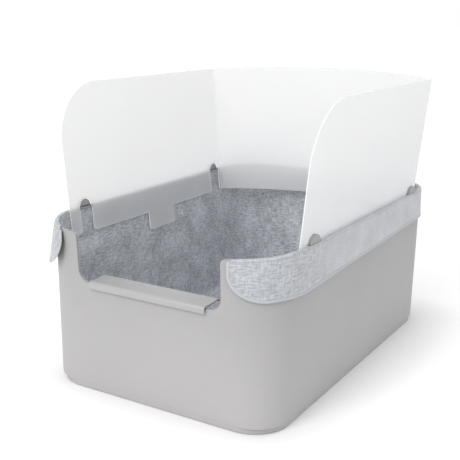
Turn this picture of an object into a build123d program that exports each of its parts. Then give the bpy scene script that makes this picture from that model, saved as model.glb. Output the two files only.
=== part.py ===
"""Open-top cat litter box: tapered bin, clip-on entry ledge, lift-out liner and folding shield.

Millimetres. +Z is up, the entry faces -Y, and +X is to the right of the entry seen from behind.
The origin is the centre of the underside. The liner hangs in the bin by a collar that folds over
the rim, and four half-round tabs on the rim come up through slits in that fold. The frosted shield
drops inside the liner until its leaning sides meet the fold. Round-topped slots leave the tabs
free, and the stiff patches beside the slits reach into them, so the shield can't slide along.
"""
from build123d import *
import math
import os

# ---- driving dimensions -------------------------------------------------------------------
rim_width = 385.0           # outside of the bin at the rim, left to right
rim_length = 565.0          # outside of the bin at the rim, front to back
rim_height = 235.0
draft = 0.0465              # each wall leans out this much per mm of height
rim_corner_radius = 80.0
base_corner_radius = 44.0
wall = 3.0
bin_floor = 3.5
plinth_height = 9.0         # slightly set-in foot of the bin
plinth_inset = 0.6
plinth_extra_radius = 9.0

notch_half_width = 112.0    # entry in the front wall
notch_floor = 161.0
notch_bottom_radius = 18.0
notch_top_radius = 7.0
front_dip = 4.5             # the rim falls this much towards the front
front_dip_length = 58.0

tab_radius = 14.0           # half-round tabs that stand on the rim
tab_neck = 1.0              # the middle of the round lies this far below the rim
tab_margin = 106.0          # from the end of the bin to the middle of a tab
tab_thickness = 2.2

ledge_width = 186.0
ledge_thickness = 2.2
ledge_reach = 30.0          # from the wall inwards
ledge_lip = 10.0
ledge_hook = 14.0
ledge_bend = 1.9            # outer radius of the ledge's two upper bends

liner_thickness = 1.4
liner_gap = 0.4             # air between the liner and the bin
collar_depth_middle = 51.0
collar_slope = 0.024        # the collar is deeper at the front
lobe_radius = 38.0          # lower front corner of the collar
lobe_start = 7.0            # from the notch to the collar's front edge
left_lobe_start = 48.0      # the left lobe stops further round the corner
hem_width = 4.5
hem_thickness = 0.7
flap_width = 182.0
slit_clearance = 1.0
patch_width = 25.0
patch_reach = 1.5           # how far a patch reaches past the shield's sheet

sheet = 1.2                 # thickness of the shield
shield_top = 417.0
shield_flare = 0.1
shield_arch = 6.0           # the back panel's top edge rises this much in the middle
shield_bow = 61.0           # the back panel bows this much towards the rear
shield_front_margin = 71.0  # from the front of the bin to the side panels
shield_rear_margin = 83.0   # from the back of the bin to the creases
shield_front_radius = 86.0
band_depth = 37.0           # the part of the shield that goes down inside the liner
tongue_depth = 66.0
tongue_front = -28.0
tongue_rear = 42.0
slot_width = 27.0
slot_corner = 6.0
crease_radius = 0.8
shield_gap = 0.4            # least space between a side panel and the liner at the fold
clearance = 0.3

# ---- places that follow from them -----------------------------------------------------------
half_width = rim_width / 2
half_length = rim_length / 2
over = 40.0                                     # how far cutting tools run past what they cut
liner_outside = wall + liner_gap                # inset of the liner's outer face
liner_inside = liner_outside + liner_thickness  # inset of the liner's inner face
fold_low = rim_height + liner_gap               # underside of the fold over the rim
fold_top = fold_low + liner_thickness
tab_y = half_length - tab_margin
crease_y = half_length - shield_rear_margin
panel_front_y = -(half_length - shield_front_margin)
inner_radius = rim_corner_radius - liner_inside
corner_reach = max(0.0, max(-panel_front_y, crease_y) - (half_length - rim_corner_radius))
corner_pull = inner_radius - math.sqrt(inner_radius ** 2 - corner_reach ** 2)
sheet_x = half_width - liner_inside - corner_pull - shield_gap  # side panel's outer face at the fold
band_low = rim_height - band_depth
tongue_low = rim_height - tongue_depth
collar_low = fold_low - collar_depth_middle
collar_lowest = collar_low - collar_slope * half_length
dip_start_y = -(half_length - front_dip_length)
dip_slope = front_dip / front_dip_length


def body_radius(z):
    """Corner radius of the tapered body at height z."""
    return base_corner_radius + (rim_corner_radius - base_corner_radius) * z / rim_height


# The skirt hangs upright, so its corners clear the body's corners down to the skirt's lowest edge:
# two arcs touch on the diagonal when their radii differ by this lean over (1 - sqrt(1/2)).
skirt_lean = draft * (rim_height - collar_lowest)
skirt_radius = min(rim_corner_radius, body_radius(collar_lowest) + skirt_lean / (1 - math.sqrt(0.5)))

os.makedirs("parts", exist_ok=True)
nodes = {}


# ---- shapes used more than once ---------------------------------------------------------------
def outline(z, inset=0.0, extra_radius=0.0):
    """Level outline of the tapered body at height z, moved in by inset."""
    lean = draft * (rim_height - z) + inset
    radius = body_radius(z) - inset + extra_radius
    return Plane.XY.offset(z) * RectangleRounded(rim_width - 2 * lean, rim_length - 2 * lean, radius)


def tapered(z_low, z_high, inset=0.0, extra_radius=0.0):
    """Solid that follows the bin's taper between two heights."""
    return loft([outline(z_low, inset, extra_radius), outline(z_high, inset, extra_radius)])


def upright(z_low, z_high, inset, corner_radius=rim_corner_radius):
    """Solid with upright sides as wide and long as the rim, moved in by inset."""
    level = RectangleRounded(rim_width - 2 * inset, rim_length - 2 * inset, corner_radius - inset)
    return extrude(Plane.XY.offset(z_low) * level, z_high - z_low)


def side_prism(points, x_low, x_high):
    """Solid whose side view is the polygon (y, z), from x_low to x_high."""
    face = Plane.YZ.offset(x_low) * make_face(Polyline(*points, close=True))
    return extrude(face, x_high - x_low)


def front_prism(face, y_low, y_high):
    """Solid whose front view is the face drawn in (x, z), from y_low to y_high."""
    plane = Plane(origin=(0, y_high, 0), x_dir=(1, 0, 0), z_dir=(0, -1, 0))
    return extrude(plane * face, y_high - y_low)


def below_rim(lift):
    """Everything under the rim's top line, which dips towards the front, raised by lift."""
    front_y = -(half_length + over)
    front_z = rim_height + lift - dip_slope * (front_dip_length + over)
    points = [
        (front_y, -over),
        (half_length + over, -over),
        (half_length + over, rim_height + lift),
        (dip_start_y, rim_height + lift),
        (front_y, front_z),
    ]
    return side_prism(points, -half_width - over, half_width + over)


def box(x_low, x_high, y_low, y_high, z_low, z_high):
    """Plain block between two corners."""
    size = (x_high - x_low, y_high - y_low, z_high - z_low)
    middle = ((x_low + x_high) / 2, (y_low + y_high) / 2, (z_low + z_high) / 2)
    return Pos(*middle) * Box(*size)


# ---- the bin ------------------------------------------------------------------------------------
def notch_face():
    """Front view of the entry, with round lower corners."""
    top = rim_height + over
    slot = Pos(0, (notch_floor + top) / 2) * Rectangle(2 * notch_half_width, top - notch_floor)
    return fillet(slot.vertices().sort_by(Axis.Y)[:2], notch_bottom_radius)


def shoulder_cut():
    """Rounds the two upper corners where the entry meets the rim."""
    rim_z = rim_height - front_dip
    radius = notch_top_radius
    cuts = []
    for side in (-1, 1):
        middle = side * (notch_half_width + radius / 2)
        corner = Pos(middle, rim_z - radius / 2) * Rectangle(radius, radius)
        corner -= Pos(side * (notch_half_width + radius), rim_z - radius) * Circle(radius)
        above = Pos(middle, rim_z + over / 2) * Rectangle(radius, over)
        for view in (corner, above):
            cuts.append(front_prism(view, -half_length - over, -half_length + over))
    return cuts


def rim_tab(side, y):
    """Half-round tab that carries on upwards from a side wall."""
    x_middle = side * (half_width - wall / 2)
    round_face = Pos(y, rim_height - tab_neck) * Circle(tab_radius)
    upper = Pos(y, rim_height - tab_neck + tab_radius / 2) * Rectangle(2 * tab_radius, tab_radius)
    face = Plane.YZ.offset(x_middle - tab_thickness / 2) * (round_face & upper)
    return extrude(face, tab_thickness)


def make_bin():
    body = tapered(plinth_height, rim_height)
    body += tapered(0, plinth_height, plinth_inset, plinth_extra_radius)
    body -= tapered(bin_floor, rim_height + 1, wall)
    body &= below_rim(0)
    body -= front_prism(notch_face(), -half_length - over, -half_length + over)
    for cut in shoulder_cut():
        body -= cut
    for side in (-1, 1):
        for y in (-tab_y, tab_y):
            body += rim_tab(side, y)
    return body


# ---- the entry ledge ------------------------------------------------------------------------------
def make_ledge():
    """Plate over the notch's lip: a front lip outside, a hook inside, a turned-down inner edge."""
    lean = draft * (rim_height - notch_floor)
    wall_out = -(half_length - lean)
    wall_in = wall_out + wall
    under = notch_floor + liner_gap + liner_thickness + clearance
    top = under + ledge_thickness
    skin = liner_gap + liner_thickness + clearance
    lip_in = wall_out - skin
    lip_out = lip_in - ledge_thickness
    inner = wall_in + ledge_reach
    plate = [(lip_out, under), (inner, under), (inner, top), (lip_out, top)]
    lip = [(lip_out, top - ledge_lip), (lip_in, top - ledge_lip), (lip_in, under), (lip_out, under)]
    hook_y = wall_in + skin + draft * ledge_hook
    hook = [(hook_y, under - ledge_hook), (hook_y + ledge_thickness, under - ledge_hook),
            (hook_y + ledge_thickness, under), (hook_y, under)]
    edge = [(inner - ledge_thickness, under - ledge_thickness), (inner, under - ledge_thickness),
            (inner, under), (inner - ledge_thickness, under)]
    half = ledge_width / 2
    ledge = side_prism(plate, -half, half)
    for profile in (lip, hook, edge):
        ledge += side_prism(profile, -half, half)
    outer_bends = [e for e in ledge.edges().filter_by(Axis.X)
                   if abs(e.center().Z - top) < 0.01]
    return fillet(outer_bends, ledge_bend)


# ---- the liner --------------------------------------------------------------------------------------
def make_liner_wall():
    low = bin_floor + liner_gap
    body = tapered(low, rim_height + 1, liner_outside)
    body -= tapered(low - 1, rim_height + 2, liner_inside)
    body &= below_rim(liner_gap)
    return body - front_prism(notch_face(), -half_length - over, -half_length + over)


def make_liner_floor():
    low = bin_floor + liner_gap
    return tapered(low, low + liner_thickness, liner_inside)


def make_front_flap():
    """Strip of liner that folds over the notch's lip, under the ledge."""
    lean = draft * (rim_height - notch_floor)
    wall_out = -(half_length - lean)
    out_face = wall_out - liner_gap
    inner_end = wall_out + wall + liner_gap + liner_thickness
    low = notch_floor + liner_gap
    half = flap_width / 2
    points = [
        (out_face - liner_thickness, low - ledge_lip / 2),
        (out_face, low - ledge_lip / 2),
        (out_face, low),
        (inner_end, low),
        (inner_end, low + liner_thickness),
        (out_face - liner_thickness, low + liner_thickness),
    ]
    flap = side_prism(points, -half, half)
    filler = tapered(notch_floor - over, low + liner_thickness, liner_outside)
    filler -= tapered(notch_floor - over - 1, low + liner_thickness + 1, liner_inside)
    filler &= box(-half, half, -half_length - over, -half_length + over, notch_floor, low + liner_thickness)
    return flap + filler


def collar_region(side, raise_edge=0.0):
    """Everything inside the collar's lower and front edges, for one side."""
    y_end = half_length + over
    low_front = collar_low - collar_slope * y_end + raise_edge
    low_rear = collar_low + collar_slope * y_end + raise_edge
    top = rim_height + over
    long_part = side_prism([(-y_end, low_front), (y_end, low_rear), (y_end, top), (-y_end, top)],
                           min(0, side * (half_width + over)), max(0, side * (half_width + over)))
    start = notch_half_width + (lobe_start if side > 0 else left_lobe_start) + raise_edge
    corner_z = collar_low - collar_slope * half_length + raise_edge
    end = half_width + over
    view = Pos(side * (start + end) / 2, (corner_z + top) / 2) * Rectangle(end - start, top - corner_z)
    corner = view.vertices().sort_by(Axis.Y)[:2].sort_by_distance((0, corner_z))[0]
    view = fillet(corner, lobe_radius - raise_edge)
    front_part = front_prism(view, -y_end, -half_length + rim_corner_radius)
    rear_block = box(-end, end, -half_length + rim_corner_radius, y_end, -over, top)
    return long_part & (front_part + rear_block)


def tab_slits():
    """Cuts in the fold that the rim tabs come up through."""
    cuts = []
    half = tab_radius + slit_clearance
    for side in (-1, 1):
        inner = side * (half_width - wall / 2 - tab_thickness / 2 - slit_clearance / 2)
        outer = side * (half_width - wall / 2 + tab_thickness / 2 + slit_clearance / 2)
        for y in (-tab_y, tab_y):
            cuts.append(box(min(inner, outer), max(inner, outer), y - half, y + half,
                            rim_height - 1, fold_top + 1))
    return cuts


def make_collar(side):
    """Half of the collar: the fold over the rim and the skirt outside it, to the rear seam."""
    skirt_in = -liner_gap
    skirt_out = skirt_in - liner_thickness
    low = collar_lowest - over
    skirt = upright(low, fold_top, skirt_out, skirt_radius)
    skirt -= upright(low - 1, fold_top + 1, skirt_in, skirt_radius)
    fold = upright(rim_height - over, fold_top, skirt_in, skirt_radius)
    fold -= upright(rim_height - over - 1, fold_top + 1, liner_inside)
    fold -= below_rim(liner_gap)
    collar = (skirt + fold) & below_rim(liner_gap + liner_thickness)
    collar &= collar_region(side)
    for cut in tab_slits():
        collar -= cut
    return collar


def make_hem(side):
    """Welded border on the outside of the collar's free edge."""
    out_face = -liner_gap - liner_thickness
    low = collar_lowest - over
    ring = upright(low, fold_top, out_face - hem_thickness, skirt_radius)
    ring -= upright(low - 1, fold_top + 1, out_face, skirt_radius)
    ring &= below_rim(liner_gap)
    return (ring & collar_region(side)) - collar_region(side, hem_width)


def make_patches():
    """Four stiff patches at the slits, which reach into the shield's slots."""
    patches = []
    inside_fold = upright(fold_low, fold_top, liner_inside)
    for side in (-1, 1):
        outer = side * half_width
        inner = side * (sheet_x - sheet - patch_reach)
        for y in (-tab_y, tab_y):
            patch = box(min(inner, outer), max(inner, outer), y - patch_width / 2,
                        y + patch_width / 2, fold_low, fold_top)
            patches.append(patch & inside_fold)
    return Compound(children=patches)


# ---- the shield ---------------------------------------------------------------------------------------
def panel_x(z):
    """Outer face of a side panel at height z."""
    return sheet_x + shield_flare * (z - fold_top)


def crease_rod(side, radius, extra=0.0):
    """Round bar along a crease, from the band's lower edge to the top and extra beyond both."""
    low, high = band_low - extra, shield_top + extra
    foot = Vector(side * (panel_x(low) - sheet / 2), crease_y, low)
    head = Vector(side * (panel_x(high) - sheet / 2), crease_y, high)
    along = head - foot
    return Plane(origin=foot, z_dir=along) * extrude(Circle(radius), along.length)


def panel_view():
    """Side view (y, z) of a side panel, with its slots and tongue."""
    corners = [(panel_front_y, band_low), (crease_y, band_low),
               (crease_y, shield_top), (panel_front_y, shield_top)]
    body = make_face(Polyline(*corners, close=True))
    front_top = body.vertices().sort_by_distance((panel_front_y, shield_top))[0]
    body = fillet(front_top, shield_front_radius)
    front_low = body.vertices().sort_by_distance((panel_front_y, band_low))[0]
    body = fillet(front_low, slot_corner)
    tongue_height = band_low - tongue_low + slot_corner
    tongue = Rectangle(tongue_rear - tongue_front, tongue_height)
    tongue = Pos((tongue_front + tongue_rear) / 2, tongue_low + tongue_height / 2) * tongue
    body += fillet(tongue.vertices().sort_by(Axis.Y)[:2], slot_corner)
    slot_middle = rim_height - tab_neck + tab_radius + clearance - slot_width / 2
    slot_height = slot_middle - band_low + over
    for y in (-tab_y, tab_y):
        body -= Pos(y, slot_middle) * Circle(slot_width / 2)
        body -= Pos(y, slot_middle - slot_height / 2) * Rectangle(slot_width, slot_height)
    return body


def make_side_panel(side):
    """Flat leaning panel: the side view cut out of a leaning slab."""
    low, high = tongue_low - over, shield_top + over
    slab_outline = [(panel_x(low) - sheet, low), (panel_x(low), low), (panel_x(high), high),
                    (panel_x(high) - sheet, high)]
    slab_face = make_face(Polyline(*[(side * x, z) for x, z in slab_outline], close=True))
    slab = front_prism(slab_face, -half_length - over, half_length + over)
    view = Plane.YZ.offset(-half_width - over) * panel_view()
    panel = slab & extrude(view, rim_width + 2 * over)
    return panel - crease_rod(side, crease_radius + clearance, over)


def bowed_section(z, half_chord, thickness):
    """Level section of the bowed back panel between the creases."""
    outer = ThreePointArc((-half_chord, crease_y), (0, crease_y + shield_bow), (half_chord, crease_y))
    inner = ThreePointArc((-half_chord + thickness, crease_y), (0, crease_y + shield_bow - thickness),
                          (half_chord - thickness, crease_y))
    ends = [Line(outer @ 0, inner @ 0), Line(outer @ 1, inner @ 1)]
    return Plane.XY.offset(z) * make_face([outer, inner] + ends)


def make_back_panel():
    """Back panel: bows to the rear between two leaning creases, with an arched top edge."""
    low, high = band_low, shield_top + shield_arch
    panel = loft([bowed_section(z, panel_x(z), sheet) for z in (low, high)])
    half = panel_x(shield_top) + over
    end_z = shield_top + shield_arch - shield_arch * (half / panel_x(shield_top)) ** 2
    crown = ThreePointArc((-half, end_z), (0, shield_top + shield_arch), (half, end_z))
    sides = Polyline(crown @ 0, (-half, tongue_low), (half, tongue_low), crown @ 1)
    panel &= front_prism(make_face([crown, sides]), crease_y - over, half_length + over)
    for side in (-1, 1):
        panel -= crease_rod(side, crease_radius, over)
    return panel


# ---- build every node and write it ------------------------------------------------------------------
nodes["bin_shell"] = make_bin()
nodes["entry_ledge"] = make_ledge()
nodes["liner_floor"] = make_liner_floor()
nodes["liner_wall"] = make_liner_wall()
nodes["liner_front_flap"] = make_front_flap()
nodes["liner_slit_patches"] = make_patches()
nodes["shield_back_panel"] = make_back_panel()
for name, side in (("left", -1), ("right", 1)):
    nodes[f"liner_collar_{name}"] = make_collar(side)
    nodes[f"collar_hem_{name}"] = make_hem(side)
    nodes[f"shield_{name}_panel"] = make_side_panel(side)
    nodes[f"shield_crease_{name}"] = crease_rod(side, crease_radius)

for name, shape in nodes.items():
    export_step(shape, f"parts/{name}.step")
    print(name, round(shape.volume), shape.bounding_box())
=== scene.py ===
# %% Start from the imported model
import math

import bmesh
import bpy
from mathutils import Matrix, Vector, noise


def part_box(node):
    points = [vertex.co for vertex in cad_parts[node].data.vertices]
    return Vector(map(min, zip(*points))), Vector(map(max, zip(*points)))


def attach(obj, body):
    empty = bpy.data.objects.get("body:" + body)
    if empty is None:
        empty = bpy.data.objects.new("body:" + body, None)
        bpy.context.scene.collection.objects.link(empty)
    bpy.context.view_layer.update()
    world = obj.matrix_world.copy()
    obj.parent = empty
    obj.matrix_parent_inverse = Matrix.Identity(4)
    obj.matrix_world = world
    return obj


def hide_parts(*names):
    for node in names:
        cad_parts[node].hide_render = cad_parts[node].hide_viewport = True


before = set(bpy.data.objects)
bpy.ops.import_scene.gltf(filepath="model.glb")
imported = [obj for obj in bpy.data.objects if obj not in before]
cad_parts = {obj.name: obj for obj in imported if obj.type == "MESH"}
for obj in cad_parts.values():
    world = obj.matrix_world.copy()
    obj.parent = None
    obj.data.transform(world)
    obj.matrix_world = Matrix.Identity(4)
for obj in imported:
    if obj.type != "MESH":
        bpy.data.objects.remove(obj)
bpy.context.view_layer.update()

MM = 0.001
sides = (("left", -1), ("right", 1))

# %% [markdown]
# A litter box of this kind is four things: a tapered bin, a ledge clipped over the entry, a woven
# liner that hangs in the bin with its collar folded over the rim, and a frosted shield that drops
# inside the liner. Places could be typed in as numbers, but here they are read from the packed
# model's own boxes, so that the pieces fit it without any adjusting. The few sizes that a box
# can't tell, such as the corner radii, are named below in metres.

# %% Sizes of the bin
shell_low, shell_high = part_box("bin_shell")
liner_low, liner_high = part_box("liner_wall")
half_width, half_length = shell_high.x, shell_high.y
wall = 3.0 * MM
liner_gap = 0.4 * MM
rim = liner_high.z - liner_gap
draft = 0.0465                  # outward lean of every wall, per metre of height
rim_radius = 80 * MM
base_radius = 44 * MM
plinth = 9 * MM
plinth_inset = 0.6 * MM
plinth_extra_radius = 9 * MM
dip_start = -(half_length - 58 * MM)
dip_slope = 4.5 / 58
notch_half = 112 * MM
notch_extra_right = 3.5 * MM     # the entry runs a little further to the right
notch_floor = 161 * MM
notch_radius = 18 * MM
shoulder_radius = 7 * MM
tab_radius = 14 * MM
tab_thickness = 2.2 * MM
tab_y = half_length - 106 * MM
print("rim at", round(rim, 4), "half width", round(half_width, 4), "half length", round(half_length, 4))


# %% [markdown]
# Modelling by hand is a round of picking something and working on it. A script does the same: it
# opens a piece for editing, picks vertices, edges or faces by their place or direction, and calls
# the operator. An operator works on all that is selected, so everything is deselected first.

# %% Helpers for edit mode
def start_editing(piece, mode="VERT"):
    """Makes one object active and opens it for editing with nothing selected."""
    if bpy.context.object and bpy.context.object.mode == "EDIT":
        bpy.ops.object.mode_set(mode="OBJECT")
    bpy.ops.object.select_all(action="DESELECT")
    piece.select_set(True)
    bpy.context.view_layer.objects.active = piece
    bpy.ops.object.mode_set(mode="EDIT")
    bpy.ops.mesh.select_mode(type=mode)
    bpy.ops.mesh.select_all(action="DESELECT")


def stop_editing():
    bpy.ops.object.mode_set(mode="OBJECT")


def pick(mode, test):
    """Selects the vertices, edges or faces for which test is true, and returns how many."""
    bpy.ops.mesh.select_mode(type=mode)
    bpy.ops.mesh.select_all(action="DESELECT")
    mesh = bmesh.from_edit_mesh(bpy.context.object.data)
    items = {"VERT": mesh.verts, "EDGE": mesh.edges, "FACE": mesh.faces}[mode]
    chosen = [item for item in items if test(item)]
    for item in chosen:
        item.select_set(True)
    bmesh.update_edit_mesh(bpy.context.object.data)
    return len(chosen)


def cut_all(place, normal, **options):
    """Cuts the whole mesh along a plane."""
    bpy.ops.mesh.select_all(action="SELECT")
    bpy.ops.mesh.bisect(plane_co=place, plane_no=normal, **options)


# %% Helpers for edges and places
def edge_middle(edge):
    return (edge.verts[0].co + edge.verts[1].co) / 2


def is_sharp(edge, degrees=40):
    return len(edge.link_faces) == 2 and edge.calc_face_angle(0) > math.radians(degrees)


def settle(piece):
    """Puts the object's place into its mesh, so that the object sits at the origin."""
    piece.data.transform(piece.matrix_world)
    piece.matrix_world = Matrix.Identity(4)
    return piece


def primitive(add, name, **options):
    """Adds one primitive with everything else deselected, names it and settles it."""
    bpy.ops.object.select_all(action="DESELECT")
    add(**options)
    piece = bpy.context.object
    piece.name = piece.data.name = name
    return settle(piece)


def cube(name, centre, lengths):
    return primitive(bpy.ops.mesh.primitive_cube_add, name, size=1, location=centre, scale=lengths)


def bevel_edges(piece, test, offset, segments):
    """Rounds the edges for which test is true."""
    start_editing(piece, "EDGE")
    pick("EDGE", test)
    bpy.ops.mesh.bevel(offset=offset, segments=segments, affect="EDGES")
    stop_editing()


# %% Helpers for modifiers and for the last tidying of a mesh
def apply_modifier(piece, kind, **settings):
    """Adds a modifier, sets it and applies it."""
    bpy.ops.object.select_all(action="DESELECT")
    piece.select_set(True)
    bpy.context.view_layer.objects.active = piece
    modifier = piece.modifiers.new(kind.title(), kind)
    for key, value in settings.items():
        setattr(modifier, key, value)
    bpy.ops.object.modifier_apply(modifier=modifier.name)


def thicken(piece, thickness):
    """Makes a sheet solid, with half of the thickness to each side."""
    apply_modifier(piece, "SOLIDIFY", thickness=thickness, offset=0.0)


def combine(piece, tool, operation):
    """Boolean of two solids, after which the tool is gone."""
    apply_modifier(piece, "BOOLEAN", operation=operation, object=tool, solver="EXACT")
    bpy.data.objects.remove(tool)


def tidy_mesh(piece, smooth_degrees=35):
    """Merges doubles, turns the faces outwards and shades all but the sharp edges smooth."""
    start_editing(piece)
    bpy.ops.mesh.select_all(action="SELECT")
    bpy.ops.mesh.remove_doubles(threshold=1e-6)
    bpy.ops.mesh.normals_make_consistent(inside=False)
    stop_editing()
    bpy.ops.object.shade_smooth_by_angle(angle=math.radians(smooth_degrees))
    print(piece.name, len(piece.data.polygons), "faces")
    return piece


# %% [markdown]
# The bin is one moulding. Its corners are cones, tight at the foot and wide at the rim, so a block
# with bevelled corners would have the wrong shape: a bevel has one radius all the way up. Here each
# level's outline is a plane whose four corners are bevelled round, and the outlines are bridged
# into a skin. The dip of the rim towards the front is a bisection, and Solidify makes the wall.

# %% Outlines of the bin
def outline_sizes(z, inset):
    """Half width, half length and corner radius of the tapered body at height z."""
    lean = draft * (rim - z) + inset
    radius = base_radius + (rim_radius - base_radius) * z / rim - inset
    return half_width - lean, half_length - lean, radius


def add_outline(z, inset=0.0, extra_radius=0.0, steps=18):
    """Adds one rounded outline, in edit mode, as a ring of edges."""
    across, along, radius = outline_sizes(z, inset)
    bpy.ops.mesh.select_all(action="DESELECT")
    bpy.ops.mesh.primitive_plane_add(size=2, location=(0, 0, z))
    bpy.ops.transform.resize(value=(across, along, 1), center_override=(0, 0, z))
    bpy.ops.mesh.bevel(offset=radius + extra_radius, segments=steps, affect="VERTICES")
    bpy.ops.mesh.delete(type="ONLY_FACE")


def bridge_levels(low, high):
    """Bridges the rings at two heights."""
    def on_ring(edge):
        a, b = (v.co.z for v in edge.verts)
        return abs(a - b) < 1e-7 and min(abs(a - low), abs(a - high)) < 1e-6
    pick("EDGE", on_ring)
    bpy.ops.mesh.bridge_edge_loops()


# %% Skin of the bin
levels = [(0.0, plinth_inset, plinth_extra_radius), (plinth, plinth_inset, plinth_extra_radius),
          (plinth + 0.2 * MM, 0.0, 0.0), (rim, 0.0, 0.0)]
bin_shell = primitive(bpy.ops.mesh.primitive_plane_add, "bin", size=0.01)
start_editing(bin_shell)
bpy.ops.mesh.select_all(action="SELECT")
bpy.ops.mesh.delete(type="VERT")
for level in levels:
    add_outline(*level)
for lower, upper in zip(levels, levels[1:]):
    bridge_levels(lower[0], upper[0])
pick("EDGE", lambda e: max(v.co.z for v in e.verts) < 1e-6)
bpy.ops.mesh.edge_face_add()
bpy.ops.mesh.select_all(action="SELECT")
bpy.ops.mesh.normals_make_consistent(inside=False)
cut_all((0, dip_start, rim), Vector((0, -dip_slope, 1)).normalized(), clear_outer=True)
for x in (-0.094, -0.047, 0.0, 0.047, 0.094):      # strips, so that no one face goes round the entry
    cut_all((x, 0, 0), (1, 0, 0))
for z in (0.055, 0.105, 0.155, 0.195):
    cut_all((0, 0, z), (0, 0, 1))
stop_editing()
apply_modifier(bin_shell, "SOLIDIFY", thickness=wall, offset=-1.0, use_even_offset=True)
print("bin skin", [round(v * 1000, 1) for v in bin_shell.dimensions])


# %% [markdown]
# The entry is low, with round lower corners and rounded shoulders at the rim. Its outline could be
# drawn in the skin's faces, but a boolean with one solid is simpler and cuts the liner as well. The
# solid is a block with two round lower edges, and two small blocks, each hollowed by a cylinder,
# widen it at the rim.

# %% Entry
def entry_tool(grow=0.0):
    """Block that cuts the entry and its round shoulders out of a front wall."""
    depth, top = 80 * MM, rim + 40 * MM
    low, half = notch_floor - grow, notch_half + grow
    shoulder_z = rim - dip_slope * (half_length + dip_start) - shoulder_radius
    ends = {-1: -half, 1: half + notch_extra_right}
    tool = cube("entry_tool", ((ends[-1] + ends[1]) / 2, -half_length, (low + top) / 2),
                (ends[1] - ends[-1], depth, top - low))
    bevel_edges(tool, lambda e: edge_middle(e).z < low + 1e-5 and abs(edge_middle(e).x) > half - 1e-5,
                notch_radius + grow, 14)
    for side in (-1, 1):
        width = shoulder_radius + 2 * MM
        middle = ends[side] + side * (shoulder_radius - width / 2)
        widening = cube("widening", (middle, -half_length, (shoulder_z + top + MM) / 2),
                        (width, depth - MM, top + MM - shoulder_z))
        rounding = primitive(bpy.ops.mesh.primitive_cylinder_add, "rounding", vertices=72, depth=2 * depth,
                             radius=shoulder_radius, rotation=(math.pi / 2, 0, 0),
                             location=(ends[side] + side * shoulder_radius, -half_length, shoulder_z))
        combine(widening, rounding, "DIFFERENCE")
        combine(tool, widening, "UNION")
    return tool


combine(bin_shell, entry_tool(), "DIFFERENCE")

# %% [markdown]
# Four half-round tabs stand on the rim and come up through slits in the liner. Each is a thin disc,
# cut off below the rim. It could be left as a loose piece that overlaps the wall, but a boolean
# makes it one closed solid with the bin, as the moulding is. Every free edge is rounded after that.

# %% Tabs on the rim
hook_low = rim + 2.2 * MM       # above the liner's fold a tab is thicker, and holds the fold down
hook_reach = 1.5 * MM
boss_inset, boss_reach = 1.4 * MM, 1.3 * MM     # a smaller round that fills the slot of the shield
for side in (-1, 1):
    for y in (-tab_y, tab_y):
        place = (side * (half_width - wall / 2), y, rim - 1 * MM)
        tab = primitive(bpy.ops.mesh.primitive_cylinder_add, "tab", vertices=64, radius=tab_radius,
                        depth=tab_thickness, location=place, rotation=(0, math.pi / 2, 0))
        start_editing(tab)
        cut_all((0, 0, rim - 5 * MM), (0, 0, -1), clear_outer=True, use_fill=True)
        cut_all((0, 0, hook_low), (0, 0, 1))
        pick("FACE", lambda f: side * f.normal.x < -0.9 and f.calc_center_median().z > hook_low)
        bpy.ops.mesh.extrude_region_move(TRANSFORM_OT_translate={"value": (-side * hook_reach, 0, 0)})
        bpy.ops.mesh.inset(thickness=boss_inset)
        bpy.ops.mesh.extrude_region_move(TRANSFORM_OT_translate={"value": (-side * boss_reach, 0, 0)})
        stop_editing()
        combine(bin_shell, tab, "UNION")
print("bin with tabs", len(bin_shell.data.polygons), "faces")


# %% Soft edges
edge_round = 0.38 * MM
foot_round = 2.0 * MM
start_editing(bin_shell, "EDGE")
print("rim edges", pick("EDGE", lambda e: is_sharp(e) and edge_middle(e).z > notch_floor - MM))
bpy.ops.mesh.bevel(offset=edge_round, segments=2, affect="EDGES")
print("foot edges", pick("EDGE", lambda e: is_sharp(e) and edge_middle(e).z < 1e-6))
bpy.ops.mesh.bevel(offset=foot_round, segments=4, affect="EDGES")
stop_editing()
tidy_mesh(bin_shell)
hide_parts("bin_shell")
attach(bin_shell, "bin")

# %% [markdown]
# The ledge is a bent strip: a slightly dished plate, a round front fold and a short lip. A bent
# strip is the same all along, so it isn't carved from a block: one edge is extruded along the
# profile, and the sheet that it leaves is thickened inwards and downwards.

# %% Entry ledge
ledge_low, ledge_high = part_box("entry_ledge")
sheet_ledge = 2.0 * MM
top = ledge_high.z
front, inner = ledge_low.y, ledge_high.y
fold = 5 * MM
lip_low = top - 10 * MM
profile = [(inner, top - 2.6 * MM), (inner - 1.0 * MM, top - 0.6 * MM), (inner - 3 * MM, top + 0.7 * MM),
           (inner - 9 * MM, top + 0.4 * MM), (inner - 17 * MM, top - 0.4 * MM),
           (inner - 24 * MM, top - 0.5 * MM), (front + fold + 2 * MM, top - 0.1 * MM)]
for step in range(6):
    angle = math.radians(90 * step / 5)
    profile.append((front + fold - fold * math.sin(angle), top - fold + fold * math.cos(angle)))
profile += [(front, lip_low + 2 * MM), (front + 0.2 * MM, lip_low)]
ledge_half = ledge_high.x
ledge = primitive(bpy.ops.mesh.primitive_plane_add, "ledge", size=1)
start_editing(ledge, "EDGE")
pick("FACE", lambda f: True)
bpy.ops.mesh.delete(type="ONLY_FACE")
pick("VERT", lambda v: v.co.y < 0)
bpy.ops.mesh.delete(type="VERT")
stop_editing()
for vertex in ledge.data.vertices:
    vertex.co = (math.copysign(ledge_half, vertex.co.x), profile[0][0], profile[0][1])
start_editing(ledge, "EDGE")
bpy.ops.mesh.select_all(action="SELECT")
for (y0, z0), (y1, z1) in zip(profile, profile[1:]):
    bpy.ops.mesh.extrude_edges_move(TRANSFORM_OT_translate={"value": (0, y1 - y0, z1 - z0)})
bpy.ops.mesh.select_all(action="SELECT")
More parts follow.
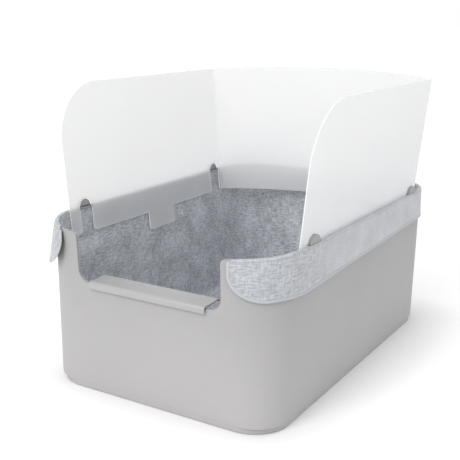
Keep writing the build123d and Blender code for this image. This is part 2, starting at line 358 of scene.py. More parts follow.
bpy.ops.mesh.normals_make_consistent(inside=False)
stop_editing()
if sum(p.normal.z for p in ledge.data.polygons) < 0:
    ledge.data.flip_normals()
apply_modifier(ledge, "SOLIDIFY", thickness=sheet_ledge, offset=-1.0, use_even_offset=True)
apply_modifier(ledge, "BEVEL", width=0.5 * MM, segments=2, limit_method="ANGLE",
               angle_limit=math.radians(50))
tidy_mesh(ledge, 30)
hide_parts("entry_ledge")
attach(ledge, "ledge")


# %% [markdown]
# The liner is cloth. It could be dropped into the bin by a simulation, but this cloth is coated,
# stiff and cut to fit, so it is laid from grids: one direction of a grid is the distance
# walked along the rim, the other is the distance down the cloth. Both are kept as the grid's UV map
# in metres, so the weave follows the cloth round every corner.

# %% Walking along the rim
straight_rear = half_width - rim_radius
corner_walk = math.pi * rim_radius / 2
straight_side = 2 * (half_length - rim_radius)
half_walk = 2 * straight_rear + 2 * corner_walk + straight_side
stretches = [straight_rear, corner_walk, straight_side, corner_walk, straight_rear]


def outline_point(walk, z, inset):
    """Point and outward direction, walk metres along the rim from the rear middle.

    A negative walk goes round the left side."""
    across, along, radius = outline_sizes(z, inset)
    side = 1 if walk >= 0 else -1
    left = min(abs(walk), half_walk)
    part = 0
    while part < 4 and left > stretches[part]:
        left -= stretches[part]
        part += 1
    share = left / stretches[part]
    turn = share * math.pi / 2
    cx, cy = across - radius, along - radius
    if part == 0:
        x, y, nx, ny = share * cx, along, 0, 1
    elif part == 1:
        nx, ny = math.sin(turn), math.cos(turn)
        x, y = cx + radius * nx, cy + radius * ny
    elif part == 2:
        x, y, nx, ny = across, cy - share * 2 * cy, 1, 0
    elif part == 3:
        nx, ny = math.cos(turn), -math.sin(turn)
        x, y = cx + radius * nx, -cy + radius * ny
    else:
        x, y, nx, ny = (1 - share) * cx, -along, 0, -1
    return Vector((side * x, y, z)), Vector((side * nx, ny, 0))


# %% Helpers for cloth
def rim_height(y):
    """Height of the rim, which dips towards the front."""
    return rim - dip_slope * max(0.0, dip_start - y)


def cloth_grid(name, columns, rows, place, flat):
    """Grid whose vertices are moved to place(a, b), with flat(a, b) in metres as its UV map.

    a and b run from 0 to 1 along the columns and the rows."""
    piece = primitive(bpy.ops.mesh.primitive_grid_add, name, x_subdivisions=columns,
                      y_subdivisions=rows, size=1)
    mesh = piece.data
    shares = [(v.co.x + 0.5, v.co.y + 0.5) for v in mesh.vertices]
    for vertex, (a, b) in zip(mesh.vertices, shares):
        vertex.co = place(a, b)
    if not mesh.uv_layers:
        mesh.uv_layers.new(name="cloth")
    mesh.uv_layers.active.name = "cloth"
    uv = mesh.uv_layers.active.data
    for loop in mesh.loops:
        uv[loop.index].uv = flat(*shares[loop.vertex_index])
    mesh.update()
    return piece


def path_steps(path):
    """Lengths in metres of a path's steps; the path is a list of pairs in millimetres."""
    return [math.dist(p, q) * MM for p, q in zip(path, path[1:])]


def along_path(path, steps, distance):
    """The pair, in metres, that lies this far along a path."""
    step = 0
    while step < len(steps) - 1 and distance > steps[step]:
        distance -= steps[step]
        step += 1
    share = distance / steps[step]
    (x, y), (next_x, next_y) = path[step], path[step + 1]
    return (x + share * (next_x - x)) * MM, (y + share * (next_y - y)) * MM


def blend_in(value, low, high):
    """0 below low, 1 above high, and smooth between."""
    t = min(1.0, max(0.0, (value - low) / (high - low)))
    return t * t * (3 - 2 * t)


print("half of the rim's outline", round(half_walk, 4))

# %% [markdown]
# The wall of the liner hangs from the fold and sags a little: broad folds, fine creases lower down,
# and a round turn into the floor. It stays flat behind the shield's band, which presses it. Fixed
# noise gives the folds, because a liner that is filled and emptied has no regular ones.

# %% Wall of the liner
liner_thickness = 1.0 * MM
liner_middle = wall + liner_gap + 0.7 * MM
liner_floor_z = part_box("liner_floor")[1].z
foot_turn = 12 * MM             # radius of the turn from wall to floor
turn_extra = 0.57               # a quarter turn is longer than its radius by this share


def sag(walk, z, calm_above=196 * MM):
    """How far the cloth stands inwards from the bin's wall."""
    calm = 1 - blend_in(z, calm_above - 30 * MM, calm_above)
    broad = noise.noise(Vector((walk * 9, z * 7, 3.1)))
    folds = noise.noise(Vector((walk * 42, z * 9, 7.7)))
    creases = noise.noise(Vector((walk * 25, z * 90, 1.3)))
    depth = 2.4 * MM + 2.6 * MM * broad + 1.6 * MM * folds + 0.6 * MM * creases
    return calm * max(0.0, depth)


def wall_place(a, b):
    walk = (2 * a - 1) * half_walk
    high = rim_height(outline_point(walk, rim, 0)[0].y) + 0.2 * MM
    low = liner_floor_z
    span = high - low
    down = (1 - b) * (span + turn_extra * foot_turn)
    if down < span - foot_turn:
        z, pull = high - down, 0.0
    else:
        turn = min(math.pi / 2, (down - span + foot_turn) / foot_turn)
        z = low + foot_turn - foot_turn * math.sin(turn)
        pull = foot_turn * (1 - math.cos(turn))
    point, out = outline_point(walk, z, liner_middle)
    fade = 1 - pull / foot_turn
    return point - out * (pull + sag(walk, z) * fade)


liner_wall = cloth_grid("liner_cloth_wall", 420, 60, wall_place,
                        lambda a, b: ((2 * a - 1) * half_walk, b * 0.24))
apply_modifier(liner_wall, "WELD", merge_threshold=1e-6)
thicken(liner_wall, liner_thickness)
combine(liner_wall, entry_tool(1.2 * MM), "DIFFERENCE")
tidy_mesh(liner_wall, 60)
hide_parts("liner_wall")
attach(liner_wall, "liner")

# %% Floor of the liner
floor_across, floor_along, floor_radius = outline_sizes(liner_floor_z, liner_middle + 9 * MM)


def floor_place(a, b):
    """Point of the floor: a square that is drawn out to the rounded outline."""
    u, v = 2 * a - 1, 2 * b - 1
    ring = max(abs(u), abs(v))
    x, y = u * floor_across, v * floor_along
    corner_x = max(0.0, abs(x) - (floor_across * ring - floor_radius * ring))
    corner_y = max(0.0, abs(y) - (floor_along * ring - floor_radius * ring))
    reach = math.hypot(corner_x, corner_y)
    if corner_x > 0 and corner_y > 0 and reach > 0:
        keep = max(corner_x, corner_y) / reach
        x = math.copysign(abs(x) - corner_x * (1 - keep), x)
        y = math.copysign(abs(y) - corner_y * (1 - keep), y)
    lift = 0.5 * MM * (1 + noise.noise(Vector((x * 14, y * 14, 5.0))))
    return Vector((x, y, liner_floor_z - 0.5 * MM + lift * (1 - ring ** 4)))


liner_floor = cloth_grid("liner_cloth_floor", 90, 130, floor_place,
                         lambda a, b: (2 * a * floor_across, 2 * b * floor_along))
thicken(liner_floor, liner_thickness)
tidy_mesh(liner_floor, 60)
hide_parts("liner_floor")
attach(liner_floor, "liner")

# %% [markdown]
# The collar is a strip folded over the rim. Its skirt hangs outside the wall, ends at the front in
# a round lobe, and has a welded border. Each could be shaped in place, but they have to match each
# other, so lobe, skirt and border are drawn flat first, as walk and depth, and one function then
# wraps a flat point onto the bin.

# %% Shape of the collar when it is flat
skirt_inset = -1.1 * MM
fold_profile = [(4.1, -2.0), (4.1, 0.1), (3.8, 0.75), (3.0, 1.05), (1.5, 1.1), (0.0, 1.05), (-0.8, 0.75),
                (-1.1, 0.1)]                       # (inset, height above the rim) in millimetres
fold_steps = path_steps(fold_profile)
fold_length = sum(fold_steps)
lobe_radius = 38 * MM
lobe_reach = {1: 56 * MM, -1: 38 * MM}         # the round end is longer along the rim on the right
top_radius = 30 * MM                           # the left lobe is round at its top as well
lobe_flare = {1: 0.8 * MM, -1: 9.5 * MM}       # and stands well off the wall
skirt_full = 55 * MM
collar_low_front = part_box("liner_collar_right")[0].z
collar_low_rear = collar_low_front + 0.024 * 2 * half_length
lobe_end = {1: half_walk - notch_half - notch_extra_right - 9.5 * MM,
            -1: half_walk - straight_rear - 0.18 * corner_walk}


def skirt_depth(walk):
    """Depth of the skirt below the rim, without its round end."""
    y = outline_point(walk, rim, 0)[0].y
    share = (y + half_length) / (2 * half_length)
    low = collar_low_front + share * (collar_low_rear - collar_low_front)
    return rim_height(y) - low


def free_edge(side, walk):
    """Where the cloth starts and ends along its section at this walk, as it nears the front."""
    end = fold_length + skirt_depth(walk)
    into = (walk - lobe_end[side]) / lobe_reach[side] + 1
    if into > 0:
        end -= lobe_radius * (1 - math.sqrt(max(0.0, 1 - into ** 2)))
    if side > 0:
        return (fold_length + 1.2 * MM) * blend_in(walk, lobe_end[side] - 26 * MM, lobe_end[side]), end
    into = walk - (lobe_end[side] - top_radius)
    start = 0.0
    if into > 0:
        start = top_radius - math.sqrt(max(0.0, top_radius ** 2 - into ** 2))
    return min(start, end - 2 * MM), end


# %% From flat cloth to its place on the bin
def skirt_place(side, walk, depth, lift=0.0):
    """Point of the skirt, walk metres round the rim and depth metres below it."""
    point, out = outline_point(side * walk, rim, skirt_inset)
    deep = depth / skirt_full
    end = blend_in(walk, lobe_end[side] - 105 * MM, lobe_end[side] - 25 * MM)
    stand_off = 1.2 * MM * deep ** 1.3 + lobe_flare[side] * end * max(0.0, deep) ** 0.75
    wave = 0.9 * MM * noise.noise(Vector((walk * 11, depth * 6, side * 4.0))) * deep
    bend = math.exp(-((walk - (half_walk - straight_rear - corner_walk)) / (45 * MM)) ** 2)
    ripple = 0.5 * MM * noise.noise(Vector((walk * 190, depth * 9, 2.0))) * (0.2 + bend)
    point = point + out * (stand_off + max(wave, -0.6 * MM * deep) + ripple * min(1.0, 4 * deep) + lift)
    point.z = rim_height(point.y) + 0.1 * MM - depth
    return point


def section_place(side, walk, along):
    """Point of the collar, along metres from its inner edge over the fold and down the skirt."""
    if along >= fold_length:
        return skirt_place(side, walk, along - fold_length)
    inset, rise = along_path(fold_profile, fold_steps, along)
    point, _ = outline_point(side * walk, rim, inset)
    point.z = rim_height(point.y) + rise
    return point


def collar_walk(side, a):
    """Walk at share a of the collar's length, closer together round the lobe's end."""
    end, reach, lobe_share = lobe_end[side], lobe_reach[side], 0.1
    if a < 1 - lobe_share:
        return a / (1 - lobe_share) * (end - reach)
    return end - reach + reach * math.sin((a - 1 + lobe_share) / lobe_share * math.pi / 2)


# %% Making a half of the collar and its border
def make_collar(name, side):
    """Fold and skirt of one half of the collar."""
    rows = 30
    nominal = [sum(fold_steps[:row]) for row in range(len(fold_profile))]
    full = fold_length + skirt_full
    spare = rows - len(fold_steps)
    nominal += [fold_length + (full - fold_length) * (step + 1) / spare for step in range(spare)]

    def section(a, b):
        walk = collar_walk(side, a)
        start, end = free_edge(side, walk)
        return walk, start + nominal[round(b * rows)] / full * (end - start)

    def place(a, b):
        return section_place(side, *section(a, b))

    def flat(a, b):
        walk, along = section(a, b)
        return side * walk, along

    collar = cloth_grid(name, 560, rows, place, flat)
    thicken(collar, liner_thickness)
    for y in (-tab_y, tab_y):
        slit = cube("slit", (side * (half_width - 2.1 * MM), y, rim),
                    (4.4 * MM, 2 * tab_radius + 1.6 * MM, 8 * MM))
        combine(collar, slit, "DIFFERENCE")
    return tidy_mesh(collar, 60)


def make_hem(name, side):
    """Welded border along the lower and front edges of one half of the collar."""
    width = 3.6 * MM
    end, reach = lobe_end[side], lobe_reach[side]

    def edge(a):
        """Point of the free edge as (walk, depth), and the direction into the cloth."""
        lower, arc = 0.84, 0.93
        if a < lower:
            walk = a / lower * (end - reach)
            return walk, skirt_depth(walk), 0.0, -1.0
        centre_depth = skirt_depth(end - reach) - lobe_radius
        if a < arc:
            turn = (a - lower) / (arc - lower) * math.pi / 2
            across, down = math.sin(turn) / reach, math.cos(turn) / lobe_radius
            length = math.hypot(across, down)
            return (end - reach + reach * math.sin(turn), centre_depth + lobe_radius * math.cos(turn),
                    -across / length, -down / length)
        rise = (a - arc) / (1 - arc)
        if side > 0:
            return end, centre_depth + rise * (1.5 * MM - centre_depth), -1.0, 0.0
        turn = rise * math.radians(60)
        return (end - top_radius + top_radius * math.cos(turn),
                centre_depth - top_radius * math.sin(turn), -math.cos(turn), math.sin(turn))

    def flat(a, b):
        walk, depth, step_walk, step_depth = edge(a)
        return walk + b * width * step_walk, max(1.5 * MM, depth + b * width * step_depth)

    def place(a, b):
        walk, depth = flat(a, b)
        return skirt_place(side, walk, depth, 0.6 * MM)

    hem = cloth_grid(name, 520, 4, place, lambda a, b: (side * flat(a, b)[0], flat(a, b)[1]))
    thicken(hem, 0.4 * MM)
    return tidy_mesh(hem, 50)


# %% Both halves of the collar and their borders
collars = {}
for word, side in sides:
    collar = make_collar("collar_" + word, side)
    hem = make_hem("collar_border_" + word, side)
    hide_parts("liner_collar_" + word)
    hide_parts("collar_hem_" + word)
    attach(collar, "liner")
    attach(hem, "liner")
    collars[word] = (collar, hem)

# %% [markdown]
# A strip of the liner goes over the lip of the entry, under the ledge, and four stiff patches
# edge the slits that the rim's tabs come through. Both are small and could be blocks, but they are
# seen close up when the ledge or the shield is out, so the strip is a folded grid like the other
# cloth, and the patches are rounded on every edge.

# %% Front flap
flap_low, flap_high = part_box("liner_front_flap")
flap_path = [(0.0, -0.9), (1.2, -0.6), (3.4, -0.6), (4.9, -0.8), (5.7, -1.5), (6.0, -3.0), (6.05, -5.9)]
flap_steps = path_steps(flap_path)
flap_width, flap_length = flap_high.x - flap_low.x, sum(flap_steps)


def flap_place(a, b):
    """Point of the flap: over the lip from the front, then down the inside."""
    inwards, rise = along_path(flap_path, flap_steps, b * flap_length)
    wave = 0.15 * MM * noise.noise(Vector((a * 9, b * 2, 4.0)))
    return Vector((flap_low.x + a * flap_width, flap_low.y + liner_thickness / 2 + inwards,
                   flap_high.z + rise + wave))


flap = cloth_grid("liner_entry_flap", 90, 24, flap_place,
                  lambda a, b: (a * flap_width, b * flap_length))
thicken(flap, liner_thickness)
tidy_mesh(flap, 60)
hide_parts("liner_front_flap")
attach(flap, "liner")

# %% Slit patches
patch_low, patch_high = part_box("liner_slit_patches")
patch_depth, patch_width = 4.2 * MM, 25 * MM
made = []
for side in (-1, 1):
    for y in (-tab_y, tab_y):
        place = (side * (patch_high.x - patch_depth / 2), y, (patch_low.z + patch_high.z) / 2)
        patch = cube("slit_patches", place, (patch_depth, patch_width, patch_high.z - patch_low.z))
        bevel_edges(patch, lambda e: True, 0.45 * MM, 3)
        made.append(patch)
bpy.ops.object.select_all(action="DESELECT")
patches = made[0]
for patch in made:
    patch.select_set(True)
bpy.context.view_layer.objects.active = patches
bpy.ops.object.join()
tidy_mesh(patches)
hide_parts("liner_slit_patches")
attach(patches, "liner")

# %% [markdown]
# The shield is one sheet with two creases, punched out flat. A side panel could be an outline that
# is filled and thickened, but a thin slab is quicker: its front corner is a bevel, and the slots
# and the tongue are booleans. Its points are then moved sideways, further the higher they are,
# which leans it outwards. The cut edges get a material of their own with a painted glow, which
# stands in for the light that a frosted sheet carries along inside it to its edges.

# %% Side panels of the shield
side_low, side_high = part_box("shield_right_panel")
sheet = 1.2 * MM
flare = 0.1
band_low = rim - 37 * MM
tongue = (-28 * MM, 42 * MM)
slot_half = 13.2 * MM
sheet_edge_round = 0.45 * MM
slot_middle = rim - 1 * MM + tab_radius + 0.3 * MM - slot_half    # centre of the slot's round top
crease_y = side_high.y
panel_top_x = side_high.x


def panel_x(z):
    """Outer face of a side panel at height z."""
    return panel_top_x - flare * (side_high.z - z)


def block(name, y_low, y_high, z_low, z_high, thickness):
    """Slab across the YZ plane, centred on x = 0."""
    return cube(name, (0, (y_low + y_high) / 2, (z_low + z_high) / 2),
                (thickness, y_high - y_low, z_high - z_low))


def round_corner(piece, y, z, radius, steps):
    """Rounds the edge that crosses the slab at (y, z)."""
    bevel_edges(piece, lambda e: (edge_middle(e) - Vector((0, y, z))).length < 1e-5, radius, steps)


def mark_cut_edges(piece, is_cut):
    """Gives the second of two finishes to the faces for which is_cut is true."""
    piece.data.materials.append(None)
    piece.data.materials.append(None)
    for face in piece.data.polygons:
        face.material_index = int(is_cut(face))


def lean_out(piece, side):
    """Moves a thin upright piece sideways to the leaning panel on this side."""
    for vertex in piece.data.vertices:
        vertex.co.x += side * (panel_x(vertex.co.z) - sheet / 2)


# %% Making a side panel
def make_side_panel(name, side):
    front, rear = side_low.y, crease_y - 1.2 * MM
    panel = block(name, front, rear, band_low, side_high.z, sheet)
    round_corner(panel, front, side_high.z, 86 * MM, 28)
    round_corner(panel, front, band_low, 6 * MM, 6)
    lower = block("tongue", tongue[0], tongue[1], side_low.z, band_low + 8 * MM, sheet)
    for y in tongue:
        round_corner(lower, y, side_low.z, 6 * MM, 6)
    combine(panel, lower, "UNION")
    for y in (-tab_y, tab_y):
        cut = block("slot", y - slot_half, y + slot_half, band_low - 20 * MM, slot_middle + slot_half,
                    10 * MM)
        for edge_y in (y - slot_half, y + slot_half):
            round_corner(cut, edge_y, slot_middle + slot_half, slot_half * 0.999, 12)
        combine(panel, cut, "DIFFERENCE")
        for edge_y in (y - slot_half, y + slot_half):
            round_corner(panel, edge_y, band_low, 5 * MM, 6)
    bevel_edges(panel, lambda e: is_sharp(e, 60), sheet_edge_round, 2)
    mark_cut_edges(panel, lambda face: abs(face.normal.x) < 0.97)
    lean_out(panel, side)
    tidy_mesh(panel, 30)
    for face in panel.data.polygons:       # the broad faces are flat, and smooth shading streaks them
        face.use_smooth = face.material_index == 1
    return panel


for word, side in sides:
    panel = make_side_panel("shield_" + word, side)
    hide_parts(f"shield_{word}_panel")
    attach(panel, "shield_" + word)

# %% [markdown]
# The back panel bows to the rear between the creases, and leans out at its ends as the side panels
# do, so no single arc fits it from top to bottom. A Bend modifier makes one arc, so instead each row
# of a flat grid gets an arc of its own. Each crease is a thin bar that the two panels meet at.

# %% Back panel
back_low, back_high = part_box("shield_back_panel")
bow = back_high.y - crease_y - sheet / 2
arch = back_high.z - side_high.z


def back_place(a, b):
    edge_z = side_high.z + arch * (1 - (2 * a - 1) ** 2)
    z = band_low + b * (edge_z - band_low)
    half_chord = panel_x(z) - sheet / 2
    radius = (half_chord ** 2 + bow ** 2) / (2 * bow)
    spread = math.asin(half_chord / radius)
    angle = (2 * a - 1) * (spread - 0.9 * MM / radius)
    y = crease_y + bow - radius + radius * math.cos(angle)
    return Vector((radius * math.sin(angle), y, z))


shield_back = cloth_grid("shield_back", 96, 40, back_place, lambda a, b: (a * 0.42, b * 0.22))
thicken(shield_back, sheet)
mark_cut_edges(shield_back, lambda face: face.area < 8e-6 or abs(face.normal.z) > 0.7)
apply_modifier(shield_back, "BEVEL", width=0.25 * MM, segments=2, limit_method="ANGLE",
               angle_limit=math.radians(60))
tidy_mesh(shield_back, 30)
print("cut edge faces of the back", sum(face.material_index for face in shield_back.data.polygons))
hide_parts("shield_back_panel")
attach(shield_back, "shield_back")

# %% Creases
for word, side in sides:
    length = side_high.z - band_low
    crease = primitive(bpy.ops.mesh.primitive_cylinder_add, "shield_fold_" + word, vertices=24,
                       radius=0.85 * MM, depth=length, location=(0, crease_y, band_low + length / 2))
    bevel_edges(crease, lambda e: is_sharp(e, 60), 0.3 * MM, 2)
    lean_out(crease, side)
    tidy_mesh(crease, 50)
    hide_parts("shield_crease_" + word)
    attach(crease, "shield_back")


# %% [markdown]
# Materials are node trees. They could be built one node and one link at a time, but sums read
# better as Python: a Value wraps a socket, and adding or multiplying Values adds the Math nodes.
# Every other node comes from Paint.node.

# %% Helpers for materials
class Value:
    """An output socket that can be used in sums."""

    def __init__(self, paint, socket):
        self.paint, self.socket = paint, socket

    def __add__(self, other):
        return self.paint.maths("ADD", self, other)

    def __sub__(self, other):
        return self.paint.maths("SUBTRACT", self, other)

    def __rsub__(self, other):
        return self.paint.maths("SUBTRACT", other, self)

    def __mul__(self, other):
        return self.paint.maths("MULTIPLY", self, other)

    __radd__, __rmul__ = __add__, __mul__


class Paint:
    """One material and its nodes."""

    def __init__(self, name):
        self.material = bpy.data.materials.new(name)
        self.material.use_nodes = True
        self.tree = self.material.node_tree
        self.tree.nodes.clear()

    def node(self, kind, sockets=None, out=0, **settings):
        """Adds a node, sets it, fills its sockets and returns one of its outputs."""
        made = self.tree.nodes.new(kind)
        for key, value in settings.items():
            setattr(made, key, value)
        for key, value in (sockets or {}).items():
            if isinstance(value, Value):
                self.tree.links.new(value.socket, made.inputs[key])
            else:
                made.inputs[key].default_value = value
        return Value(self, made.outputs[out]) if made.outputs else None

    def ramp(self, value, stops):
        """Colour ramp with stops of (place, colour)."""
        made = self.tree.nodes.new("ShaderNodeValToRGB")
        for index, (place, colour) in enumerate(stops):
            elements = made.color_ramp.elements
            element = elements[index] if index < 2 else elements.new(place)
            element.position, element.color = place, (*colour, 1)
        self.tree.links.new(value.socket, made.inputs[0])
        return Value(self, made.outputs[0])

    def noise(self, place, scale, detail=3.0, roughness=0.5):
        return self.node("ShaderNodeTexNoise", {"Vector": place, "Scale": scale, "Detail": detail,
                                                "Roughness": roughness})

    def object_place(self):
        """The object's own coordinates, in metres."""
        return self.node("ShaderNodeTexCoord", out=3)

    def axis(self, place, index):
        """One coordinate of a place: 0, 1 or 2 for X, Y or Z."""
        return self.node("ShaderNodeSeparateXYZ", {"Vector": place}, out=index)

    def maths(self, operation, *values):
        return self.node("ShaderNodeMath", dict(enumerate(values)), operation=operation)

    def stretched(self, place, scale):
        """A place stretched by a different amount along each axis."""
        return self.node("ShaderNodeMapping", {"Vector": place, "Scale": scale})

    def bump(self, height, strength, distance):
        return self.node("ShaderNodeBump", {"Height": height, "Strength": strength, "Distance": distance})

    def principled(self, sockets):
        return self.node("ShaderNodeBsdfPrincipled", sockets)

    def finish(self, shader):
        self.node("ShaderNodeOutputMaterial", {"Surface": shader})
        return self.material


def shades(level, contrast, red, blue):
    """Dark and light of a near-neutral colour, whose red and blue stand these shares above its green."""
    return [(green * (1 + red), green, green * (1 + blue))
            for green in (level * (1 - contrast), level * (1 + contrast))]


# %% [markdown]
# The bin is matt polypropylene with a fine moulded grain. One flat colour would look like paper.
# Two scales of noise give its colour a faint cloudiness and its surface the grain, a third makes
# soft scuffs that are a bit glossier, and a painted shade darkens the colour a little towards the
# rim: it stands in for the brighter light that the pale floor throws on the lower walls.

# %% Plastic of the bin and of the ledge
def moulded_plastic(name, level, red, blue, roughness, grain, fade):
    """Matt plastic with a moulded grain, painted darker upwards by fade: a painted shade for the floor's
    light on the lower walls.
    """
    paint = Paint(name)
    place = paint.object_place()
    height = paint.axis(place, 2)
    cloud = paint.noise(place, 9.0, 4.0)
    speck = paint.noise(place, 900.0, 2.0)
    scuff = paint.noise(paint.stretched(place, (14, 14, 60)), 6.0, 6.0, 0.7)
    # the last term is painted shade: darker upwards by fade, standing in for the floor's light on the
    # lower walls
    tone = cloud * 0.2 + speck * 0.08 + scuff * 0.08 + 0.32 - (height - 0.08) * fade
    dark, light = shades(level, 0.14, red, blue)
    colour = paint.ramp(tone, [(0.2, dark), (0.7, light)])
    rough = roughness - scuff * 0.10 + speck * 0.06
    normal = paint.bump(speck, grain, 0.0002)
    shader = paint.principled({"Base Color": colour, "Roughness": rough, "Normal": normal,
                               "Specular IOR Level": 0.4})
    return paint.finish(shader)


bin_plastic = moulded_plastic("bin_plastic", 0.358, 0.022, 0.006, 0.52, 0.35, 1.9)
ledge_plastic = moulded_plastic("ledge_plastic", 0.343, 0.012, 0.008, 0.38, 0.2, 0.0)
print("plastics:", bin_plastic.name, ledge_plastic.name)

# %% [markdown]
# The liner is coated woven cloth with slubby threads. A brick or checker pattern would be far too
# regular for it. The UV map is in metres, so a noise that is drawn out along one direction gives
# uneven threads of true size, and two of them cross.

# %% Cloth of the liner
def woven(name, level, blue, contrast, smooth_and_painted_light_until, patches, weld_line=-1.0):
    """Crossed threads; up to a walk of smooth_and_painted_light_until metres the cloth is pulled smoother
    and painted a little lighter, a painted light for the collar's sides, which flare a little upwards.

    A thin pressed line runs weld_line metres from the cloth's inner edge."""
    paint = Paint(name)
    place = paint.node("ShaderNodeUVMap", uv_map="cloth")
    weft = paint.noise(paint.stretched(place, (95, 470, 1)), 1.0, 2.0, 0.5)
    warp = paint.noise(paint.stretched(place, (520, 80, 1)), 1.0, 2.0, 0.5)
    fine_weft = paint.noise(paint.stretched(place, (300, 1500, 1)), 1.0, 1.0)
    fine_warp = paint.noise(paint.stretched(place, (1500, 300, 1)), 1.0, 1.0)
    threads = weft * 0.48 + warp * 0.34 + fine_weft * 0.09 + fine_warp * 0.09
    patchy = paint.noise(place, 26.0, 4.0, 0.6)
    walk = paint.maths("ABSOLUTE", paint.axis(place, 0))
    rough_part = paint.node("ShaderNodeMapRange",
                            {"Value": walk, "From Min": smooth_and_painted_light_until - 0.05,
                             "From Max": smooth_and_painted_light_until + 0.03, "To Min": 0.3, "To Max": 1.0},
                            interpolation_type="SMOOTHSTEP")
    # (1 - rough_part) * 0.05 is painted light: the smoother part of the collar is made lighter for the
    # light its upward-facing side catches
    tone = (threads - 0.5) * rough_part + (patchy - 0.5) * patches + (1 - rough_part) * 0.05 + 0.5
    pressed = paint.maths("COMPARE", paint.axis(place, 1), weld_line, 0.4 * MM)
    tone = tone - pressed * 0.12
    dark, light = shades(level, contrast, -0.5 * blue, blue)
    colour = paint.ramp(tone, [(0.41, dark), (0.59, light)])
    rough = 0.62 - threads * 0.2
    normal = paint.bump(threads, 0.5, 0.0012)
    shader = paint.principled({"Base Color": colour, "Roughness": rough, "Normal": normal,
                               "Sheen Weight": 0.1, "Coat Weight": 0.1, "Coat Roughness": 0.35})
    return paint.finish(shader)


# %% Welded borders
def welded_border(name, level, blue):
    """Cloth that is pressed smooth and melted together, with only a little cloudiness left."""
    paint = Paint(name)
    place = paint.object_place()
    cloud = paint.noise(place, 60.0, 3.0)
    pressed = paint.noise(place, 700.0, 2.0)
    dark, light = shades(level, 0.06, -blue, blue)
    colour = paint.ramp(cloud * 0.6 + pressed * 0.4, [(0.3, dark), (0.7, light)])
    shader = paint.principled({"Base Color": colour, "Roughness": 0.48,
                               "Normal": paint.bump(pressed, 0.2, 0.0003)})
    return paint.finish(shader)


liner_cloth = woven("liner_cloth", 0.465, 0.07, 0.32, -1.0, 0.34)
collar_cloth = woven("collar_cloth", 0.39, 0.065, 0.22, 0.62, 0.22, fold_length + 1.6 * MM)
hem_weld = welded_border("liner_hem", 0.41, 0.035)
# the slit patches are painted dark: a painted shade for the narrow gaps beside the rim's tabs
slit_patch_painted_shade = welded_border("slit_patch_shade", 0.27, 0.03)
print("cloths:", liner_cloth.name, collar_cloth.name, "and welds:", hem_weld.name, slit_patch_painted_shade.name)

# %% [markdown]
# The shield is frosted polypropylene. Light goes through it, but shapes behind it blur. Glass with
# rough transmission does that too, but it is slow and noisy, and the export doesn't keep it. So the
# surface is a mix of a satin white plastic, a translucent one, and a little plain see-through.

# %% Frosted sheet of the shield
def frosted(name):
    paint = Paint(name)
    place = paint.object_place()
    cloud = paint.noise(place, 7.0, 3.0)
    frost = paint.noise(place, 1500.0, 2.0)
    colour = paint.ramp(cloud * 0.7 + frost * 0.3,
                        [(0.3, (0.84, 0.843, 0.847)), (0.7, (0.88, 0.883, 0.887))])
    normal = paint.bump(frost, 0.15, 0.0001)
    satin = paint.principled({"Base Color": colour, "Roughness": 0.42, "Normal": normal,
                              "Specular IOR Level": 0.35})
    glow = paint.node("ShaderNodeBsdfTranslucent", {"Color": (0.915, 0.915, 0.918, 1)})
    body = paint.node("ShaderNodeMixShader", {0: 0.5, 1: satin, 2: glow})
    clear = paint.node("ShaderNodeBsdfTransparent", {"Color": (1, 1, 1, 1)})
    return paint.finish(paint.node("ShaderNodeMixShader", {0: 0.34, 1: body, 2: clear}))


# %% Cut edge of the shield
def cut_edge(name):
    """The sheet's own edge: glossier, not see-through, and with a painted glow for the light carried
    inside the sheet.
    """
    paint = Paint(name)
    place = paint.object_place()
    cloud = paint.noise(place, 30.0, 2.0)
    colour = paint.ramp(cloud, [(0.3, (0.72, 0.725, 0.73)), (0.7, (0.76, 0.765, 0.77))])
    # the emission is a painted glow: the edge is no lamp, it stands in for light carried inside the sheet
    satin = paint.principled({"Base Color": colour, "Roughness": 0.3, "Emission Color": (1, 1, 1, 1),
                              "Emission Strength": 0.24})
    glow = paint.node("ShaderNodeBsdfTranslucent", {"Color": (0.98, 0.98, 0.985, 1)})
    return paint.finish(paint.node("ShaderNodeMixShader", {0: 0.4, 1: satin, 2: glow}))


shield_sheet = frosted("shield_sheet")
shield_edge = cut_edge("shield_edge")
print("shield finishes:", shield_sheet.name, shield_edge.name)


# %% Give every piece its material
def paint_piece(piece, material):
    piece.data.materials.clear()
    piece.data.materials.append(material)


paint_piece(bin_shell, bin_plastic)
paint_piece(ledge, ledge_plastic)
for piece in (liner_wall, liner_floor, flap):
    paint_piece(piece, liner_cloth)
for collar, hem in collars.values():
    paint_piece(collar, collar_cloth)
    paint_piece(hem, hem_weld)
paint_piece(patches, slit_patch_painted_shade)
for name in ("shield_left", "shield_right", "shield_back"):
    for slot, material in zip(bpy.data.objects[name].material_slots, (shield_sheet, shield_edge)):
        slot.material = material
for name in ("shield_fold_left", "shield_fold_right"):
    paint_piece(bpy.data.objects[name], shield_sheet)
print("materials in use:", sum(material.users > 0 for material in bpy.data.materials))
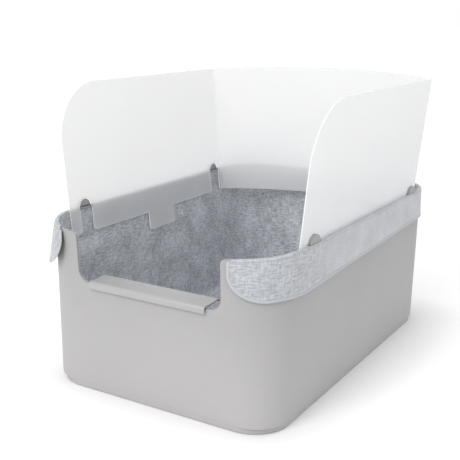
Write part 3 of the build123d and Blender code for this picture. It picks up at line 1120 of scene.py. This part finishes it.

# %% [markdown]
# A product picture on white: a pale floor, an even white world, and one large soft light from the
# front that makes the front of the bin a little brighter than its side. The floor glows a little,
# so that it stays white far away; close to the foot the glow is taken away, which paints a soft
# shadow around the bin on top of the one that the lamp casts.

# %% Floor
floor = primitive(bpy.ops.mesh.primitive_plane_add, "studio_floor", size=60, location=(0, 0, -0.0002))
floor_paint = Paint("studio_floor")
floor_place = floor_paint.object_place()
past_foot = []                  # how far a point of the floor lies outside the bin, along X and Y
for axis, reach in ((0, 0.165), (1, 0.255)):
    past = floor_paint.maths("ABSOLUTE", floor_paint.axis(floor_place, axis)) - reach
    past_foot.append(floor_paint.maths("MAXIMUM", past, 0.0))
distance = floor_paint.maths("SQRT", past_foot[0] * past_foot[0] + past_foot[1] * past_foot[1])
# painted shadow: the floor's glow fades out near the bin's foot, which darkens the floor there
glow = floor_paint.ramp(distance, [(0.02, (0, 0, 0)), (0.11, (1, 1, 1))])
floor_shader = floor_paint.principled({"Base Color": (0.86, 0.86, 0.86, 1), "Roughness": 1.0,
                                       "Specular IOR Level": 0.0, "Emission Color": glow,
                                       "Emission Strength": 0.17})
paint_piece(floor, floor_paint.finish(floor_shader))

# %% World and lamp
world = bpy.data.worlds.new("studio")
world.use_nodes = True
background = world.node_tree.nodes["Background"].inputs
background["Color"].default_value = (1, 1, 1, 1)
background["Strength"].default_value = 1.0
bpy.context.scene.world = world

lamp_data = bpy.data.lights.new("key", "AREA")
lamp_data.shape, lamp_data.size, lamp_data.energy = "DISK", 1.6, 44
lamp = bpy.data.objects.new("key", lamp_data)
lamp.location = (-0.3, -2.5, 2.2)
lamp.rotation_euler = (Vector((0, 0, 0.2)) - lamp.location).to_track_quat("-Z", "Y").to_euler()
bpy.context.scene.collection.objects.link(lamp)
bpy.context.scene.view_settings.view_transform = "Standard"

# %% Camera
azimuth, elevation, roll = math.radians(31.44), math.radians(14.74), math.radians(0.28)
turn = (Matrix.Rotation(azimuth, 4, "Z") @ Matrix.Rotation(math.pi / 2 - elevation, 4, "X")
        @ Matrix.Rotation(roll, 4, "Z"))
camera_data = bpy.data.cameras.new("camera")
camera_data.lens, camera_data.sensor_width = 64.93, 36
camera = bpy.data.objects.new("camera", camera_data)
camera.matrix_world = Matrix.Translation((0.6227, -1.0886, 0.5170)) @ turn
bpy.context.scene.collection.objects.link(camera)
bpy.context.scene.camera = camera
print("camera", [round(v, 3) for v in camera.matrix_world.translation], "lens", camera_data.lens)

# %% [markdown]
# The last lines work out the full width and length of the liner's floor, and go through the halves
# of the collar and their borders.

2 * floor_across
2 * floor_along
for word, side in sides:
    collar, hem = collars[word]
